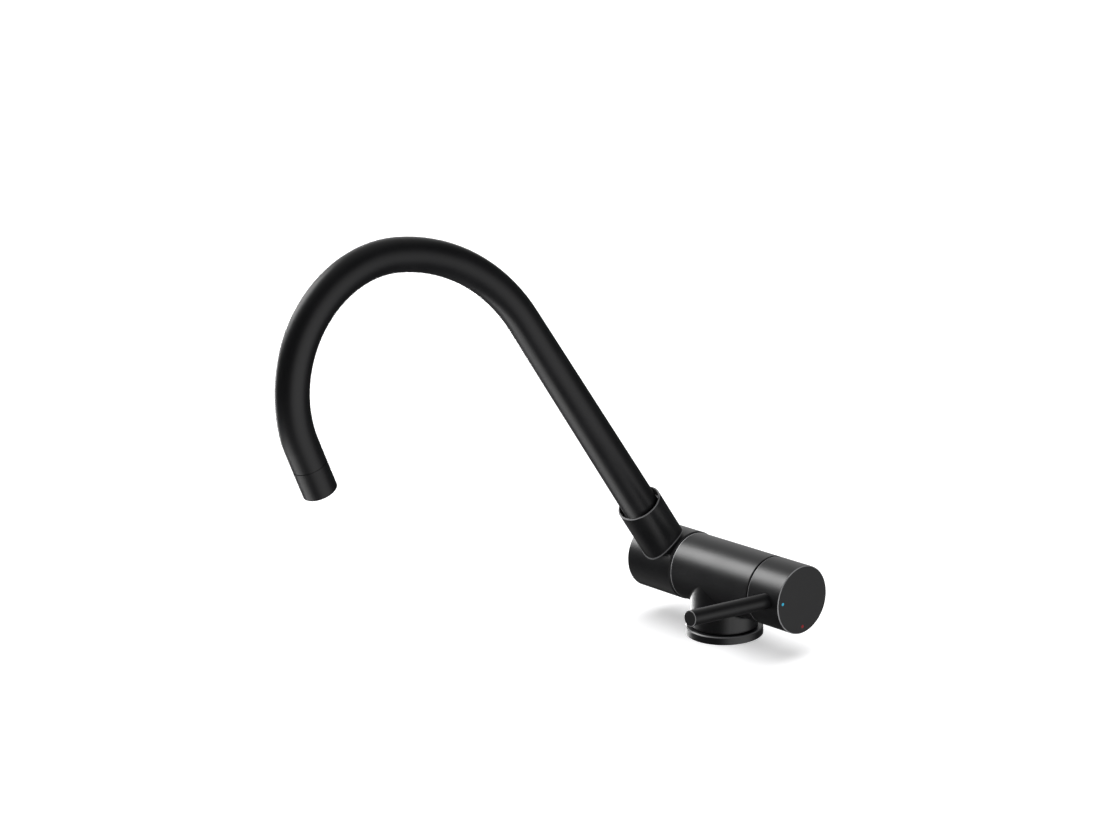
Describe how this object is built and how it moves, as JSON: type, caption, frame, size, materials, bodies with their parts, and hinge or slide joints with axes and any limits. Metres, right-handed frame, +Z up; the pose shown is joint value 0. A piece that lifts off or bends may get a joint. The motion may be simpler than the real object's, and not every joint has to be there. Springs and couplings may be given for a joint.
{
  "type": "folding caravan tap",
  "caption": "Folding single-lever tap with a swan-neck spout that folds down beside its body and swivels in its socket.",
  "frame": {"origin": "centre of the base ring's underside, on the worktop", "axes": "+Z up, +X along the body towards the handle, -Y towards the user, the way the spout folds"},
  "size_m": [0.1449, 0.3543, 0.3085],
  "materials": {
    "black_coat": "matte",
    "bare_brass": "machined",
    "steel": "satin",
    "seal_rubber": "matte",
    "white_plastic": "moulded",
    "black_plastic": "moulded",
    "grey_plastic": "moulded",
    "ceramic": "polished",
    "blue_mark": "gloss",
    "red_mark": "gloss"
  },
  "bodies": {
    "base": {"main_body": "black_coat", "base_ring": "black_coat", "base_gasket": "seal_rubber", "cartridge_base": "white_plastic", "cold_port_seal": "seal_rubber", "hot_port_seal": "seal_rubber", "outlet_port_seal": "seal_rubber", "fixed_disc": "ceramic", "cartridge_housing": "white_plastic", "cartridge_nut": "bare_brass", "dome_ring": "black_coat", "fold_axle": "bare_brass", "fold_o_ring_front": "seal_rubber", "fold_o_ring_rear": "seal_rubber", "friction_washer": "black_plastic", "retaining_washer": "steel", "retaining_screw": "steel"},
    "rear_barrel": {"elbow": "black_coat", "rear_plug": "black_coat", "socket_bush": "black_plastic", "spout_grub_screw": "steel"},
    "spout": {"spout_root": "bare_brass", "swivel_o_ring_lower": "seal_rubber", "swivel_o_ring_upper": "seal_rubber", "spout_tube": "black_coat", "aerator_sleeve": "black_coat", "aerator_insert": "grey_plastic", "aerator_screen": "steel", "aerator_washer": "seal_rubber"},
    "rotor": {"cartridge_rotor": "grey_plastic"},
    "mixing_disc": {"moving_disc": "ceramic", "disc_carrier": "black_plastic"},
    "handle": {"cartridge_stem": "steel", "stem_pin": "steel", "handle_cap": "black_coat", "cover_disc": "black_coat", "lever_rod": "black_coat", "handle_grub_screw": "steel", "blue_marker": "blue_mark", "red_marker": "red_mark"}
  },
  "joints": [
    {"name": "spout_fold", "type": "hinge", "parent": "base", "child": "rear_barrel", "pos_m": [-0.0488, 0, 0.0415], "axis": [1, 0, 0], "range_deg": [-33.8, 56.2]},
    {"name": "spout_swivel", "type": "hinge", "parent": "rear_barrel", "child": "spout", "pos_m": [-0.0488, 0, 0.0415], "axis": [0, -0.5563, 0.831], "continuous": true},
    {"name": "temperature_turn", "type": "hinge", "parent": "base", "child": "rotor", "pos_m": [0.0383, 0, 0.0415], "axis": [-1, 0, 0], "range_deg": [-5, 85]},
    {"name": "handle_tilt", "type": "hinge", "parent": "rotor", "child": "handle", "pos_m": [0.0383, 0, 0.0415], "axis": [0, 0.0924, 0.9957], "range_deg": [0, 20]},
    {"name": "disc_slide", "type": "slide", "parent": "rotor", "child": "mixing_disc", "axis": [0, -0.9957, 0.0924], "range_m": [0, 0.0042]}
  ],
  "couplings": [
    {"joint": "disc_slide", "follows": "handle_tilt", "m_per_rad": 0.011757}
  ]
}
